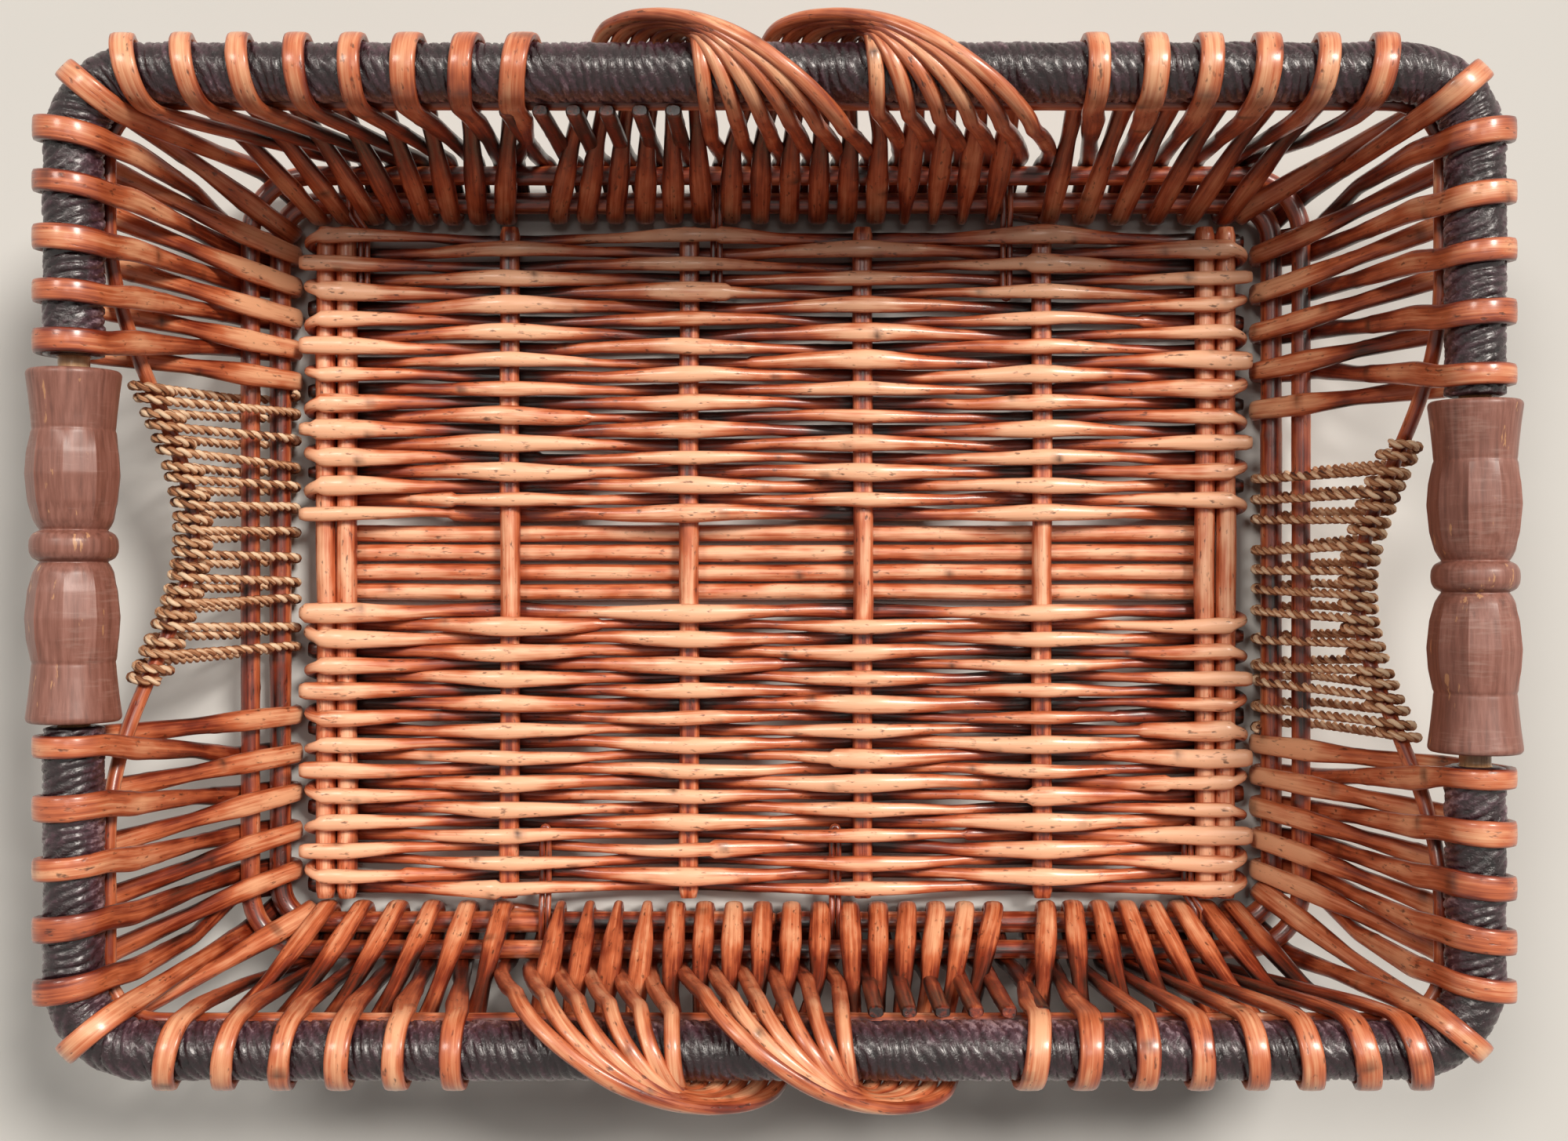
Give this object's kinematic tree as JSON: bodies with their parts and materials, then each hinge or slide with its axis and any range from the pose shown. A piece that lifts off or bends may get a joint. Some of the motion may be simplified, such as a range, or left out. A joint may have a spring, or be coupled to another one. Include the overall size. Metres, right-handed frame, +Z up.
{
  "type": "wicker tray basket",
  "caption": "Shallow rectangular wicker tray with a woven base, laced rod walls, a bound rim and two turned wooden handles for carrying.",
  "frame": {"origin": "centre of the base on the surface that the basket stands on", "axes": "+X along the length towards the right handle, +Y across the width towards the back, +Z up"},
  "size_m": [0.4918, 0.3612, 0.1178],
  "materials": {
    "willow": "stained and varnished willow, satin",
    "dark_willow": "dark stained willow, satin",
    "rattan": "bare rattan",
    "rush": "dark twisted paper rush, satin",
    "turned_wood": "grey-brown stained turned wood, satin",
    "seagrass": "twisted seagrass, matt"
  },
  "bodies": {
    "basket": {"rim_pole_back": "rattan", "rim_pole_front": "rattan", "rim_binding_back": "rush", "rim_binding_front": "rush", "base_ring_inner": "willow", "base_ring_outer": "willow", "under_rim_hoop": "willow", "back_left_lacing": "willow", "front_right_lacing": "willow", "back_left_scallop": "willow", "front_right_scallop": "willow", "back_right_scallop": "willow", "front_left_scallop": "willow", "back_right_lacing": "willow", "front_left_lacing": "willow", "left_back_lacing": "willow", "right_front_lacing": "willow", "left_front_lacing": "willow", "right_back_lacing": "willow", "back_left_corner_rod": "willow", "front_right_corner_rod": "willow", "back_right_corner_rod": "willow", "front_left_corner_rod": "willow", "left_rope": "seagrass", "right_rope": "seagrass", "stake_1": "willow", "stake_2": "willow", "stake_3": "willow", "stake_4": "willow", "stake_5": "willow", "stake_6": "willow", "stake_7": "willow", "stake_8": "willow", "centre_stick_1": "willow", "centre_stick_2": "willow", "centre_stick_3": "willow", "centre_stick_4": "willow", "weaver_back_1": "willow", "weaver_back_2": "willow", "weaver_back_3": "willow", "weaver_back_4": "willow", "weaver_back_5": "willow", "weaver_back_6": "willow", "weaver_back_7": "willow", "weaver_front_1": "willow", "weaver_front_2": "willow", "weaver_front_3": "willow", "weaver_front_4": "willow", "weaver_front_5": "willow", "weaver_front_6": "willow", "weaver_front_7": "willow", "back_tie_1": "dark_willow", "back_tie_2": "dark_willow", "back_tie_3": "dark_willow", "front_tie_1": "dark_willow", "front_tie_2": "dark_willow", "front_tie_3": "dark_willow"},
    "left_handle": {"left_handle": "turned_wood"},
    "right_handle": {"right_handle": "turned_wood"}
  },
  "joints": [
    {"name": "left_handle_spin", "type": "hinge", "parent": "basket", "child": "left_handle", "pos_m": [-0.23, 0.005, 0.098], "axis": [0, 1, 0], "continuous": true},
    {"name": "right_handle_spin", "type": "hinge", "parent": "basket", "child": "right_handle", "pos_m": [0.23, -0.005, 0.098], "axis": [0, 1, 0], "continuous": true}
  ]
}
